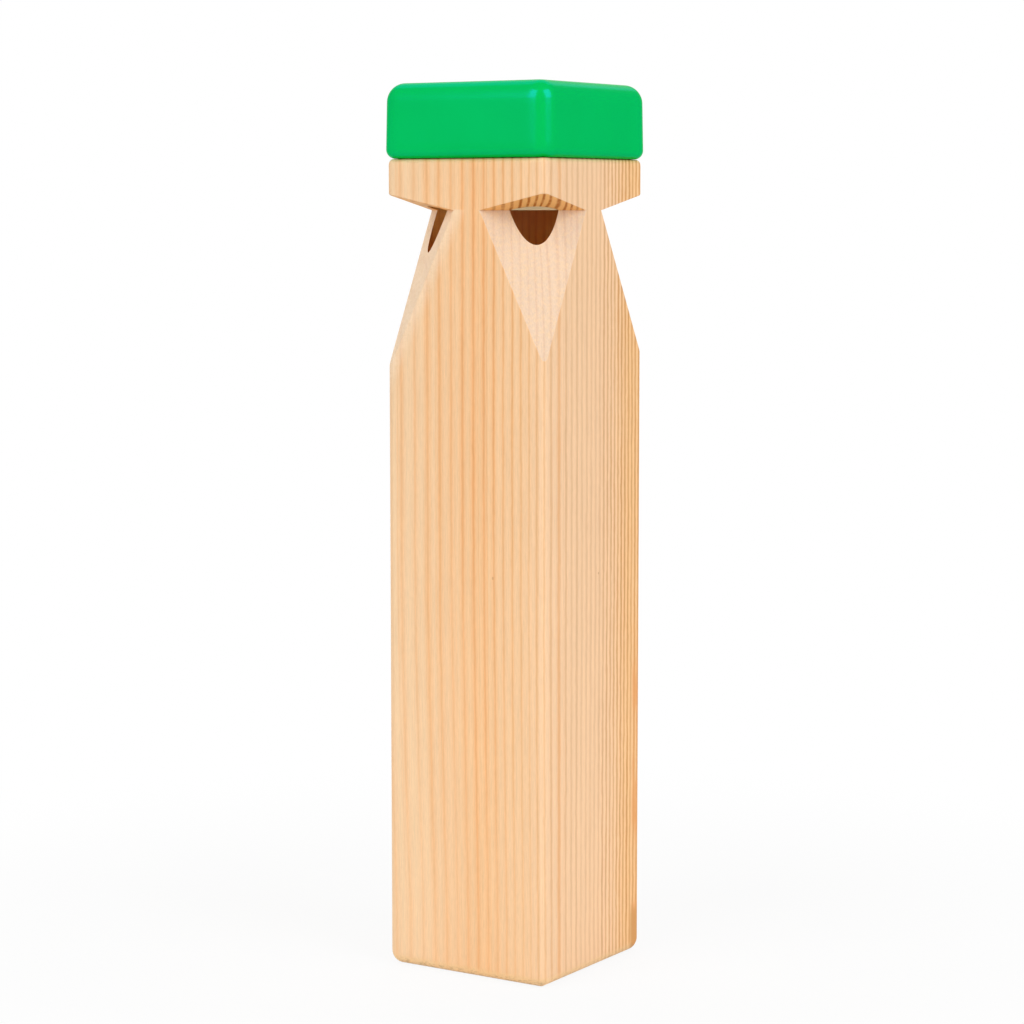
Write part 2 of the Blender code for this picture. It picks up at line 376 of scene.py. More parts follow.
def bore_axis(name):
    """Where a corner's bore runs: its mark on the diagonal and the drill's drift."""
    sign_x, sign_y = corner_signs(name)
    drift_x, drift_y = CORNERS[name].drift
    return sign_x * BORE_OFFSET + drift_x, sign_y * BORE_OFFSET + drift_y


def mark_bore_walls(mesh):
    """Face attribute that is 1 on the bores: faces a bore's radius from its axis that look at the axis."""
    tolerance = 0.1 * MM
    facing_axis = -0.95
    count = len(mesh.polygons)
    centre = np.empty(count * 3)
    normal = np.empty(count * 3)
    mesh.polygons.foreach_get("center", centre)
    mesh.polygons.foreach_get("normal", normal)
    centre = centre.reshape(-1, 3)[:, :2]
    normal = normal.reshape(-1, 3)[:, :2]
    on_wall = np.zeros(count, dtype=bool)
    for name in CORNERS:
        from_axis = centre - np.array(bore_axis(name))
        distance = np.maximum(np.linalg.norm(from_axis, axis=1), tolerance)
        looks_in = (from_axis * normal).sum(1) / distance < facing_axis
        on_wall |= looks_in & (np.abs(distance - BORE_DIAMETER / 2) < tolerance)
    marks = mesh.attributes.new("bore_wall", 'FLOAT', 'FACE')
    marks.data.foreach_set("value", on_wall.astype(np.float32))


def weld(mesh):
    """Merge points that the cut left within a few thousandths of a millimetre of each other."""
    reach = 0.003 * MM
    points = bmesh.new()
    points.from_mesh(mesh)
    bmesh.ops.remove_doubles(points, verts=points.verts, dist=reach)
    points.to_mesh(mesh)
    points.free()


def make_block(material):
    """The pine block, with its four bores cut out of the grid's solid."""
    solid = bpy.data.objects.new("block_solid", grid_mesh("block_solid", block_grid()))
    bpy.context.scene.collection.objects.link(solid)
    cutters = []
    for name, mouth in CORNERS.items():
        grid = bore_grid(*bore_axis(name), MOUTH_BACK - mouth.pipe)
        cutter = bpy.data.objects.new("bore_" + name, grid_mesh("bore_" + name, grid))
        bpy.context.scene.collection.objects.link(cutter)
        cut = solid.modifiers.new(cutter.name, 'BOOLEAN')
        cut.operation = 'DIFFERENCE'
        cut.solver = 'EXACT'
        cut.object = cutter
        cutters.append(cutter)
    drilled = solid.evaluated_get(bpy.context.evaluated_depsgraph_get())
    mesh = bpy.data.meshes.new_from_object(drilled)
    for helper in cutters + [solid]:
        helper_mesh = helper.data
        bpy.data.objects.remove(helper)
        bpy.data.meshes.remove(helper_mesh)
    mesh.name = "pine_block"
    weld(mesh)
    mark_bore_walls(mesh)
    return add_piece("pine_block", mesh, "whistle_body", material, BLOCK_SHARP_ANGLE)


# Plugs

def plug_grid(axis_x, axis_y, outward, bottom, top):
    """A plug: a circle cut by its outward flat, carried upwards and drawn in by a quarter circle at
    both ends. The flat and the arc each keep their own columns, so their corner stays crisp."""
    end_steps, flat_columns, arc_columns = 6, 13, 50
    far_in, near_in = 8.0, 3.0
    end = quarter_turn(end_steps)
    inset = PLUG_END_ROUND * np.concatenate(([far_in, near_in], 1 - np.sin(end), 1 - np.cos(end),
                                             [near_in, far_in]))
    rise = PLUG_END_ROUND * (1 - np.cos(end))
    fall = PLUG_END_ROUND * (1 - np.sin(end))
    height = np.concatenate(([bottom] * 2, bottom + rise, top - fall, [top] * 2))
    radius = (PLUG_RADIUS - inset)[:, None]
    flat = (PLUG_FLAT - inset)[:, None]
    half_flat = np.arccos(flat / radius)
    across = np.linspace(-1.0, 1.0, flat_columns)[None, :]
    round_arc = np.linspace(0.0, 1.0, arc_columns)[None, 1:-1]
    flat_angle = np.arctan(across * np.tan(half_flat))
    arc_angle = half_flat + round_arc * (2 * math.pi - 2 * half_flat)
    angle = np.concatenate((flat_angle, arc_angle), axis=1)
    reach = np.concatenate((flat / np.cos(flat_angle), np.broadcast_to(radius, arc_angle.shape)), axis=1)
    x = axis_x + reach * np.cos(angle + outward)
    y = axis_y + reach * np.sin(angle + outward)
    return np.stack((x, y, np.broadcast_to(height[:, None], x.shape)), axis=-1)


def make_plugs(material):
    """One plug in the top of each bore."""
    for name in CORNERS:
        node = "fipple_plug_" + name
        low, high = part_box(node)
        sign_x, sign_y = corner_signs(name)
        bottom = low.z + PLUG_LIFT.get(name, 0.0)
        grid = plug_grid(*bore_axis(name), math.atan2(sign_y, sign_x), bottom, high.z)
        add_piece("windway_plug_" + name, grid_mesh("windway_plug_" + name, grid), node,
                  material, MOULDED_SHARP_ANGLE)


# Mouthpiece cap

def rounded_square(angle, half, corner_round):
    """Distance from the axis to a square with rounded corners, along each angle: the flat side's
    half / cos, or the far side of the corner's circle where the ray passes the side's end."""
    folded = np.abs((angle + math.pi / 4) % (math.pi / 2) - math.pi / 4)
    centre = half - corner_round
    cosine = np.cos(folded)
    sine = np.sin(folded)
    inside = np.maximum(corner_round ** 2 - (centre * (cosine - sine)) ** 2, 0.0)
    corner = centre * (cosine + sine) + np.sqrt(inside)
    return np.where(half * sine <= centre * cosine, half / cosine, corner)


def cap_profile():
    """Half side, corner round and height of each row of the cap, once round its wall: up the outside
    from the rim, over the top, down the blow hole, out under the roof and down the inside."""
    rim_steps, top_steps, lip_steps, flat_steps, wall_steps, inner_steps = 12, 18, 8, 8, 4, 6
    turn = quarter_turn(rim_steps)
    top_turn = quarter_turn(top_steps)
    side_top = CAP_HALF - CAP_DRAFT
    rim_inset = CAP_RIM_ROUND * (1 - np.sin(turn))
    top_inset = CAP_TOP_ROUND * (1 - np.cos(top_turn))
    rim = (CAP_HALF - rim_inset, CAP_EDGE_ROUND - rim_inset, CAP_RIM + CAP_RIM_ROUND * (1 - np.cos(turn)))
    step = np.linspace(0.0, 1.0, flat_steps)[1:-1]
    low_side = CAP_RIM + CAP_RIM_ROUND
    high_side = CAP_TOP - CAP_TOP_ROUND
    side = (CAP_HALF - step * CAP_DRAFT, np.full(len(step), CAP_EDGE_ROUND),
            low_side + step * (high_side - low_side))
    top = (side_top - top_inset, CAP_EDGE_ROUND - top_inset,
           CAP_TOP - CAP_TOP_ROUND * (1 - np.sin(top_turn)))

    lip = BLOW_HOLE_RADIUS + BLOW_HOLE_ROUND
    flat_half = side_top - CAP_TOP_ROUND
    flat_round = CAP_EDGE_ROUND - CAP_TOP_ROUND
    roof = (flat_half + step * (lip - flat_half), flat_round + step ** 2 * (lip - flat_round),
            np.full(len(step), CAP_TOP))
    lip_turn = quarter_turn(lip_steps)
    lip_half = lip - BLOW_HOLE_ROUND * np.sin(lip_turn)
    hole = (lip_half, lip_half, CAP_TOP - BLOW_HOLE_ROUND * (1 - np.cos(lip_turn)))
    wall_height = np.linspace(CAP_TOP - BLOW_HOLE_ROUND, CAVITY_TOP, wall_steps)[1:]
    wall_half = np.full(len(wall_height), BLOW_HOLE_RADIUS)
    wall = (wall_half, wall_half, wall_height)

    under_half = BLOW_HOLE_RADIUS + step * (CAVITY_HALF - BLOW_HOLE_RADIUS)
    under_round = BLOW_HOLE_RADIUS + step * (CAVITY_EDGE_ROUND - BLOW_HOLE_RADIUS)
    under = (under_half, under_round, np.full(len(step), CAVITY_TOP))
    inner_height = np.linspace(CAVITY_TOP, CAP_RIM, inner_steps)
    inner = (np.full(inner_steps, CAVITY_HALF), np.full(inner_steps, CAVITY_EDGE_ROUND), inner_height)
    parts = (rim, side, top, roof, hole, wall, under, inner)
    return tuple(np.concatenate([part[number] for part in parts]) for number in range(3))


def cap_grid():
    """The cap's profile carried round a square outline, with the columns crowded at its corners."""
    columns, crowding = 176, 0.76
    even = np.linspace(0.0, 2 * math.pi, columns, endpoint=False)
    angle = (even + crowding / 4 * np.sin(4 * even))[None, :]
    half, corner_round, height = (values[:, None] for values in cap_profile())
    reach = rounded_square(angle, half, corner_round)
    plan = (reach * np.cos(angle), reach * np.sin(angle))
    return np.stack(plan + (np.broadcast_to(height, reach.shape),), axis=-1)


def make_cap(material):
    """The hollow cap, closed round its wall."""
    mesh = grid_mesh("green_cap", cap_grid(), closed_rows=True)
    return add_piece("green_cap", mesh, "mouthpiece_cap", material, MOULDED_SHARP_ANGLE)


# Materials

class Nodes:
    """Short calls that add shader nodes to one tree and link what they are given."""

    def __init__(self, tree):
        self.tree = tree

    def add(self, kind, **settings):
        node = self.tree.nodes.new(kind)
        for name, value in settings.items():
            setattr(node, name, value)
        return node

    def put(self, socket, value):
        """Link an output to a socket, or set a plain value on it."""
        if isinstance(value, bpy.types.NodeSocket):
            self.tree.links.new(value, socket)
        else:
            socket.default_value = value

    def math(self, operation, *values, clamp=False):
        node = self.add('ShaderNodeMath', operation=operation, use_clamp=clamp)
        for socket, value in zip(node.inputs, values):
            self.put(socket, value)
        return node.outputs[0]

    def times(self, first, second, clamp=False):
        return self.math('MULTIPLY', first, second, clamp=clamp)

    def times_plus(self, first, second, added):
        return self.math('MULTIPLY_ADD', first, second, added)

    def vector(self, operation, first, second):
        node = self.add('ShaderNodeVectorMath', operation=operation)
        self.put(node.inputs[0], first)
        self.put(node.inputs[1], second)
        return node.outputs['Value' if operation == 'DOT_PRODUCT' else 'Vector']

    def noise(self, position, scale, detail=2.0, roughness=0.5):
        node = self.add('ShaderNodeTexNoise')
        self.put(node.inputs['Vector'], position)
        node.inputs['Scale'].default_value = scale
        node.inputs['Detail'].default_value = detail
        node.inputs['Roughness'].default_value = roughness
        return node.outputs['Fac']

    def step(self, value, low, high, start=0.0, end=1.0):
        """A smooth step from start to end as a value goes from low to high."""
        node = self.add('ShaderNodeMapRange', interpolation_type='SMOOTHSTEP')
        for socket, number in zip(node.inputs, (value, low, high, start, end)):
            self.put(socket, number)
        return node.outputs['Result']

    def fall(self, value, low, high, start=1.0):
        """A smooth fall from start to nothing as a value goes from low to high."""
        return self.step(value, low, high, start, 0.0)

    def halfway(self, number):
        """Whole part of a number, and how far the number is from halfway to the next."""
        whole = self.math('FLOOR', number)
        part = self.math('SUBTRACT', number, whole)
        return whole, self.math('ABSOLUTE', self.math('SUBTRACT', part, 0.5))

    def chance(self, seed):
        """A value from 0 to 1 that is fixed for each seed."""
        node = self.add('ShaderNodeTexWhiteNoise', noise_dimensions='1D')
        self.put(node.inputs['W'], seed)
        return node.outputs['Value']

    def mix(self, factor, first, second, blend='MIX'):
        node = self.add('ShaderNodeMix', data_type='RGBA', blend_type=blend)
        self.put(node.inputs['Factor'], factor)
        self.put(node.inputs['A'], first)
        self.put(node.inputs['B'], second)
        return node.outputs['Result']

    def ramp(self, value, stops):
        """Colour at a value on a ramp, whose stops are a position and a colour as 0 to 255 on screen."""
        node = self.add('ShaderNodeValToRGB')
        elements = node.color_ramp.elements
        elements.remove(elements[1])
        elements[0].position = stops[0][0]
        elements[0].color = srgb(*stops[0][1:])
        for position, *colour in stops[1:]:
            elements.new(position).color = srgb(*colour)
        self.put(node.inputs['Fac'], value)
        return node.outputs['Color']

    def bump(self, height, distance, strength=1.0):
        node = self.add('ShaderNodeBump')
        node.inputs['Strength'].default_value = strength
        node.inputs['Distance'].default_value = distance
        self.put(node.inputs['Height'], height)
        return node.outputs['Normal']


def srgb(red, green, blue):
    """A colour written as 0 to 255 on screen, as linear light with full alpha."""
    screen = np.array((red, green, blue)) / 255
    linear = np.where(screen <= 0.04045, screen / 12.92, ((screen + 0.055) / 1.055) ** 2.4)
    return (*linear.tolist(), 1.0)


def new_material(name):
    """An empty material: its nodes and its Principled shader."""
    material = bpy.data.materials.new(name)
    material.use_nodes = True
    shader = material.node_tree.nodes['Principled BSDF']
    return material, Nodes(material.node_tree), shader


# Pine colours from the pith side to the bark side of the block: share of the way across, and the colour
# of the pale wood, of the orange wood about a ring's line, and of the line itself
PALE_ACROSS = ((0.1, 248, 211, 168), (0.21, 248, 206, 161), (0.37, 249, 203, 153), (0.44, 249, 206, 160),
               (0.53, 249, 206, 160), (0.61, 252, 211, 169), (0.75, 252, 210, 167), (0.88, 255, 213, 169),
               (0.945, 255, 208, 152))
ORANGE_ACROSS = ((0.1, 248, 197, 145), (0.21, 248, 193, 137), (0.37, 248, 186, 126), (0.44, 248, 192, 134),
                 (0.53, 248, 195, 138), (0.61, 249, 201, 149), (0.645, 249, 202, 152), (0.664, 247, 191, 136),
                 (0.69, 249, 204, 156), (0.75, 249, 205, 158), (0.88, 249, 203, 155), (0.945, 250, 195, 132))
LINE_ACROSS = ((0.1, 241, 187, 135), (0.21, 240, 180, 123), (0.37, 237, 167, 105), (0.53, 236, 178, 121),
               (0.61, 239, 190, 142), (0.645, 238, 190, 143), (0.664, 241, 183, 129), (0.69, 237, 191, 146),
               (0.75, 236, 191, 147), (0.825, 235, 187, 143), (0.86, 219, 163, 109), (0.945, 220, 156, 91))
# Painted shade: the near mouth's slope is a darker copy of the fresh wood, evening out how the lamps light
# the slopes
FRESH_NEAR_SHADED = srgb(234, 205, 179)
FRESH_SIDE = srgb(255, 226, 193)
FRESH_LATE = srgb(220, 180, 150)
FRESH_WARM = srgb(243, 209, 166)
END_PALE = srgb(253, 191, 115)
END_LATE = srgb(190, 111, 39)
# Painted shade: the bores' walls darken towards the top, under the plugs
BORE_SHADED_TOP = srgb(232, 152, 76)
BORE_LOW = srgb(255, 192, 102)
BORE_SIDE = srgb(255, 194, 112)
BORE_LATE = srgb(224, 138, 64)
# Painted bounce light: the base's round is warmer and lighter
BASE_BOUNCE_LIGHT = srgb(255, 217, 160)
RESIN = srgb(240, 168, 101)
FOOT_RESIN = srgb(213, 157, 91)
FLECK = srgb(196, 138, 94)

# The level direction across the growth rings, as a turn from +X, and the block's half width along it in
# millimetres
RING_TURN = math.radians(32.8654)
RING_SPAN = 24.0

# Where marks begin and end, in millimetres up the block, or across or along the rings
MOUTH_LEVEL = MOUTH_BACK / MM
# NEAR_MOUTH_ALONG and NEAR_MOUTH_ACROSS bound the near slope's painted shade
NEAR_MOUTH_ALONG = (-11.0, -8.0)
NEAR_MOUTH_ACROSS = (-10.0, -8.0)
SANDED_STRIP = (0.0, 2.4)
LEFT_BORE_ACROSS = (-4.6, -3.6)
# Painted shade: between these heights the wood darkens going up, standing in for light from the floor
PAINTED_SHADE_HEIGHTS = (20.0, 130.0)
FOOT_HEIGHTS = (2.0, 4.0)
FRAYED_HEIGHTS = (0.8, 1.7)
RESIN_ACROSS = (22.0, 22.6)
RESIN_HEIGHTS = (56.0, 68.0)
FULL_RESIN_HEIGHTS = (7.0, 12.0)
FOOT_RESIN_ACROSS = (21.7, 22.2)
FOOT_RESIN_HEIGHTS = (7.0, 10.0)

# How far upwards a face looks, from -1 to 1, where each sawn or rounded face begins and ends
SLOPE_FACING = (0.15, 0.28)
TOP_FACING = (0.9, 0.99)
CEILING_FACING = (-0.94, -0.8)
BASE_EDGE_FACING = (-0.93, -0.8)
BASE_ROUND_FACING = (-0.5, -0.04)

# Dark flecks: place across the rings, height, half width and half length in millimetres
FLECKS = ((-4.2, 75.3, 0.2, 0.36), (15.4, 75.0, 0.16, 0.3))


class Grain:
    """Places in the block's grain in millimetres: across the growth rings, along them and up the block."""

    def __init__(self, nodes, position):
        cosine = math.cos(RING_TURN)
        sine = math.sin(RING_TURN)
        self.nodes = nodes
        self.place = nodes.vector('MULTIPLY', position, (1 / MM,) * 3)
        self.across = nodes.vector('DOT_PRODUCT', self.place, (cosine, sine, 0.0))
        self.along = nodes.vector('DOT_PRODUCT', self.place, (-sine, cosine, 0.0))
        self.height = nodes.vector('DOT_PRODUCT', self.place, (0.0, 0.0, 1.0))

    def noise(self, scales, detail, roughness=0.5):
        """Noise with its own scale across the rings, along them and upwards."""
        joined = self.nodes.add('ShaderNodeCombineXYZ')
        for socket, value, scale in zip(joined.inputs, (self.across, self.along, self.height), scales):
            self.nodes.put(socket, self.nodes.times(value, scale))
        return self.nodes.noise(joined.outputs['Vector'], 1.0, detail, roughness)

    def fleck(self, middle, level, half_width, half_length):
        """1 within an upright ellipse, falling to 0 at its rim."""
        nodes = self.nodes
        side = nodes.times(nodes.math('SUBTRACT', self.across, middle), 1 / half_width)
        rise = nodes.times(nodes.math('SUBTRACT', self.height, level), 1 / half_length)
        reach = nodes.times_plus(side, side, nodes.times(rise, rise))
        return nodes.fall(reach, 0.2, 1.0)


def ring_share(grain):
    """Share of the way across the growth rings, from the pith side to the bark side: the distance along one
    level direction, plus a bend that grows with the square of the depth behind the two front faces, less a
    lean near the foot, plus a slow wander and a ripple, over the block's width."""
    nodes = grain.nodes
    bend, deepest = 0.013, 14.0
    lean_from, lean_run, lean_power, most_lean = 80.0, 68.0, 1.6, -1.5
    lean_edge, lean_width = 14.0, 36.0
    most_wander, most_ripple = 0.3, 0.4

    half = BLOCK_HALF / MM
    left_face = nodes.times_plus(grain.across, -math.tan(RING_TURN), -half / math.cos(RING_TURN))
    right_face = nodes.times_plus(grain.across, 1 / math.tan(RING_TURN), -half / math.sin(RING_TURN))
    depth = nodes.math('SUBTRACT', grain.along, nodes.math('MAXIMUM', left_face, right_face))
    depth = nodes.math('MINIMUM', nodes.math('MAXIMUM', depth, 0.0), deepest)
    place = nodes.times_plus(nodes.times(depth, depth), bend, grain.across)

    below = nodes.math('SUBTRACT', lean_from, grain.height)
    below = nodes.times(below, 1 / lean_run, clamp=True)
    pith_side = nodes.math('SUBTRACT', lean_edge, grain.across)
    pith_side = nodes.times(pith_side, 1 / lean_width, clamp=True)
    lean = nodes.times(nodes.math('POWER', below, lean_power), pith_side)
    place = nodes.times_plus(lean, most_lean, place)

    wander = nodes.math('SUBTRACT', grain.noise((0.06, 0.04, 0.02), 1.0), 0.5)
    ripple = nodes.math('SUBTRACT', grain.noise((0.8, 0.3, 0.18), 3.0, 0.72), 0.5)
    place = nodes.times_plus(wander, most_wander, place)
    place = nodes.times_plus(ripple, most_ripple, place)
    return nodes.times_plus(place, 0.5 / RING_SPAN, 0.5)


def ring_number(nodes, share):
    """Number of the ring at a share of the way across: a polynomial, so that rings narrow towards the bark,
    with one wider ring and even rings last. A ring's line lies halfway between whole numbers."""
    start, by_share, by_square, by_fifth = -0.52, 17.2, 9.9, 12.0
    wide_from, wide_to, widening = 0.637, 0.685, -0.45
    even_from, evening = 0.88, -100.0
    square = nodes.times(share, share)
    fifth = nodes.times(nodes.times(square, square), share)
    number = nodes.times_plus(share, by_share, start)
    number = nodes.times_plus(square, by_square, number)
    number = nodes.times_plus(fifth, by_fifth, number)
    number = nodes.math('ADD', number, nodes.step(share, wide_from, wide_to, 0.0, widening))
    beyond = nodes.math('MAXIMUM', nodes.math('SUBTRACT', share, even_from), 0.0)
    return nodes.times_plus(nodes.times(beyond, beyond), evening, number)


def ring_tones(grain, share, number):
    """Distance from a ring's line, and how strongly the orange wood about the line and the line itself show.
    Orange rises evenly to a line from both sides. The line is thin, but no thinner near the bark, with thin
    stray lines between, most of them too faint to see. Both vary by chance from ring to ring, break up along
    the grain, and are faint in one band and near the foot."""
    nodes = grain.nodes
    strays_in_ring, stray_power, stray_strength = 2.37, 3.0, 0.5
    chance_share, least_strength = 0.5, 0.65
    fainter, line_loss, orange_loss = -0.15, -0.75, -0.4

    ring, from_line = nodes.halfway(number)
    orange = nodes.math('POWER', nodes.times_plus(from_line, -2.0, 1.0),
                        nodes.step(share, 0.4, 0.55, 1.1, 2.4))
    half_line = nodes.step(share, 0.45, 0.85, 0.11, 0.28)
    line = nodes.fall(from_line, nodes.times(half_line, 0.25), nodes.times(half_line, 1.3))
    stray_ring, from_stray = nodes.halfway(nodes.times(number, strays_in_ring))
    stray_chance = nodes.chance(nodes.math('ADD', stray_ring, 0.5))
    stray = nodes.times(nodes.fall(from_stray, 0.04, 0.16), nodes.math('POWER', stray_chance, stray_power))
    line = nodes.math('MAXIMUM', line, nodes.times(stray, stray_strength))

    strength = nodes.times_plus(nodes.chance(ring), chance_share, least_strength)
    faint = nodes.times(nodes.step(share, 0.76, 0.79), nodes.fall(share, 0.83, 0.855))
    strength = nodes.times(strength, nodes.times_plus(faint, fainter, 1.0))
    broken = grain.noise((1.2, 0.6, 0.035), 2.0)
    strength = nodes.times(strength, nodes.step(broken, 0.3, 0.7, 0.8, 1.2))
    low = nodes.times(nodes.step(grain.height, 5.0, 120.0, 1.0, 0.2), nodes.step(share, 0.54, 0.62, 1.0, 0.1))
    line_strength = nodes.times(strength, nodes.times_plus(low, line_loss, 1.0))
    orange_strength = nodes.times(strength, nodes.times_plus(low, orange_loss, 1.0))
    line = nodes.times(line, line_strength, clamp=True)
    orange = nodes.times(orange, orange_strength, clamp=True)
    return from_line, orange, line


def sawn_slopes(grain, facing_up, late, wood):
    """Wood with the fresh slopes of the mouths: pale, with faint rings and saw marks, and at the near mouth a
    darker copy of the same wood as painted shade, evening out how the lamps light the slopes. The sanded
    strip beside the front left slope is fresh too."""
    nodes = grain.nodes
    slope_strength, sanded_strength = 0.88, 0.7
    below_mouth = nodes.fall(grain.height, MOUTH_LEVEL - 0.1, MOUTH_LEVEL + 0.3)
    slope = nodes.times(nodes.step(facing_up, *SLOPE_FACING), below_mouth)
    # painted shade: the near slope is a darker copy of the fresh wood
    near = nodes.fall(grain.along, *NEAR_MOUTH_ALONG)
    near = nodes.times(near, nodes.step(grain.across, *NEAR_MOUTH_ACROSS))
    fresh = nodes.mix(near, FRESH_SIDE, FRESH_NEAR_SHADED)
    fresh = nodes.mix(nodes.times(late, nodes.times_plus(near, 0.3, 0.2)), fresh, FRESH_LATE)
    saw_marks = grain.noise((1.1, 0.4, 1.6), 3.0, 0.7)
    fresh = nodes.mix(nodes.step(saw_marks, 0.42, 0.68, 0.0, 0.6), fresh, FRESH_WARM)

    mouth = CORNERS["front_left"]
    depth = FLAT_DEPTH + mouth.overcut
    steepness = depth / mouth.drop
    past_slope = nodes.vector('DOT_PRODUCT', grain.place, (1 / DIAGONAL, 1 / DIAGONAL, -steepness))
    past_slope = nodes.math('ADD', past_slope, (BLOCK_HALF * DIAGONAL - depth + steepness * MOUTH_BACK) / MM)
    sanded = nodes.times(nodes.fall(past_slope, *SANDED_STRIP, sanded_strength), below_mouth)
    return nodes.mix(nodes.math('MAXIMUM', nodes.times(slope, slope_strength), sanded), wood, fresh)


def end_grain(grain, facing_up, share, from_line, wood):
    """Wood with end grain where a face looks straight up or down: broad brown rings on a warm ground, weaker
    on the pith side and in patches."""
    nodes = grain.nodes
    on_end = nodes.math('ADD', nodes.fall(facing_up, *CEILING_FACING), nodes.step(facing_up, *TOP_FACING))
    patches = nodes.step(grain.noise((0.5, 0.5, 0.5), 2.0), 0.35, 0.6, 0.6, 1.0)
    strength = nodes.times(nodes.step(share, 0.34, 0.5, 0.3, 1.0), patches)
    late = nodes.times(nodes.fall(from_line, 0.06, 0.3), strength)
    return nodes.mix(on_end, wood, nodes.mix(late, END_PALE, END_LATE))


def bore_walls(grain, late, wood):
    """Wood with its bores brown, by the mesh's own marks, with painted shade that darkens them near a mouth,
    under the plug, and the rings showing.
    """
    nodes = grain.nodes
    late_strength = 0.6
    on_wall = nodes.add('ShaderNodeAttribute', attribute_name="bore_wall").outputs['Fac']
    # painted shade: darker near the mouth, under the plug
    near_mouth = nodes.step(grain.height, MOUTH_LEVEL - 7.0, MOUTH_LEVEL - 1.0)
    on_left = nodes.fall(grain.across, *LEFT_BORE_ACROSS)
    bored = nodes.mix(on_left, nodes.mix(near_mouth, BORE_LOW, BORE_SHADED_TOP), BORE_SIDE)
    bored = nodes.mix(nodes.times(late, late_strength), bored, BORE_LATE)
    return nodes.mix(on_wall, wood, bored)


def fibre_tints_and_painted_shade(grain, fibre):
    """Factor that shades the wood: along its fibres, in slow tints and short dashes, and with painted shade
    that darkens it upwards, lighter towards the floor.
    """
    nodes = grain.nodes
    tint = grain.noise((0.5, 0.2, 0.03), 2.0)
    dashes = grain.noise((6.0, 6.0, 0.6), 2.0, 0.6)
    shade = nodes.times(nodes.step(fibre, 0.3, 0.7, 0.96, 1.03), nodes.step(tint, 0.3, 0.7, 0.985, 1.01))
    shade = nodes.times(shade, nodes.step(dashes, 0.3, 0.7, 0.965, 1.03))
    # painted shade: darker upwards, lighter towards the floor
    return nodes.times(shade, nodes.step(grain.height, *PAINTED_SHADE_HEIGHTS, 1.035, 0.965))


def painted_foot_light_and_specks(grain, facing_up, from_line, wood, shade):
    """Wood, and the factor that shades it, at the base: painted warm bounce light over the base's round, and
    painted contact shade at its very edge, with darker dashes of the wood's own at the rings' lines, and
    frayed there in small specks."""
    nodes = grain.nodes
    bounce_strength, contact_shade = 0.6, -0.35
    on_foot = nodes.fall(grain.height, *FOOT_HEIGHTS)
    # painted bounce light: a warmer, lighter tone over the base's round
    on_round = nodes.times(nodes.fall(facing_up, *BASE_ROUND_FACING, bounce_strength), on_foot)
    wood = nodes.mix(on_round, wood, BASE_BOUNCE_LIGHT)
    # painted contact shade along the very edge, darker still at the rings' lines, which are the wood's own
    on_edge = nodes.times(nodes.fall(facing_up, *BASE_EDGE_FACING), on_foot)
    on_edge = nodes.times(on_edge, nodes.step(from_line, 0.1, 0.35, 1.0, 0.4))
    shade = nodes.times_plus(on_edge, contact_shade, shade)
    specks = nodes.step(grain.noise((1.2, 1.2, 3.0), 2.0, 0.6), 0.34, 0.56, -0.22, 0.03)
    frayed = nodes.times(specks, nodes.fall(grain.height, *FRAYED_HEIGHTS))
    return wood, nodes.math('ADD', shade, frayed)


def resin_and_flecks(grain, wood):
    """Wood with a strip of resin on the bark side, patchy above and full at the foot, and dark flecks."""
    nodes = grain.nodes
    foot_strength, fleck_strength = 0.65, 0.5
    seep = nodes.step(grain.noise((0.25, 0.1, 0.07), 3.0), 0.42, 0.6, 0.15, 0.9)
    seep = nodes.math('MAXIMUM', seep, nodes.fall(grain.height, *FULL_RESIN_HEIGHTS))
    strip = nodes.times(nodes.step(grain.across, *RESIN_ACROSS), nodes.fall(grain.height, *RESIN_HEIGHTS))
    wood = nodes.mix(nodes.times(strip, seep), wood, RESIN)
    foot_strip = nodes.times(nodes.step(grain.across, *FOOT_RESIN_ACROSS),
                             nodes.fall(grain.height, *FOOT_RESIN_HEIGHTS, foot_strength))
    wood = nodes.mix(foot_strip, wood, FOOT_RESIN)
    for fleck in FLECKS:
        wood = nodes.mix(nodes.times(grain.fleck(*fleck), fleck_strength), wood, FLECK)
    return wood


def pine_material():
    """Pine: growth rings across one level direction of the block, closer towards the bark, each darkening
    to a sharp latewood line. Sawn slopes are fresh and pale, end grain and bores are brown, and a few flecks
    and a strip of resin lie in it. Painted light and shade lie on the base, up the block, in the bores and on
    the near slope."""
    material, nodes, shader = new_material("pine_growth_rings")
    coordinates = nodes.add('ShaderNodeTexCoord')
    grain = Grain(nodes, coordinates.outputs['Object'])
    normal = nodes.add('ShaderNodeSeparateXYZ')
    nodes.put(normal.inputs['Vector'], coordinates.outputs['Normal'])
    facing_up = normal.outputs['Z']

    share = ring_share(grain)
    from_line, orange, line = ring_tones(grain, share, ring_number(nodes, share))
    late = nodes.math('MAXIMUM', line, nodes.times(orange, 0.5))
    wood = nodes.mix(orange, nodes.ramp(share, PALE_ACROSS), nodes.ramp(share, ORANGE_ACROSS))
    wood = nodes.mix(line, wood, nodes.ramp(share, LINE_ACROSS))
    wood = sawn_slopes(grain, facing_up, late, wood)
    wood = end_grain(grain, facing_up, share, from_line, wood)
    wood = bore_walls(grain, late, wood)
    fibre = grain.noise((4.0, 4.0, 0.12), 3.0, 0.6)
    wood, shade = painted_foot_light_and_specks(grain, facing_up, from_line, wood, fibre_tints_and_painted_shade(grain, fibre))
    wood = nodes.mix(1.0, wood, shade, 'MULTIPLY')
    wood = resin_and_flecks(grain, wood)

    line_relief, relief_depth, relief_strength = 0.1, 0.02 * MM, 0.6
    nodes.put(shader.inputs['Base Color'], wood)
    nodes.put(shader.inputs['Roughness'], nodes.step(fibre, 0.2, 0.8, 0.5, 0.66))
    shader.inputs['Specular IOR Level'].default_value = 0.3
    relief = nodes.times_plus(line, line_relief, fibre)
    nodes.put(shader.inputs['Normal'], nodes.bump(relief, relief_depth, relief_strength))
    return material


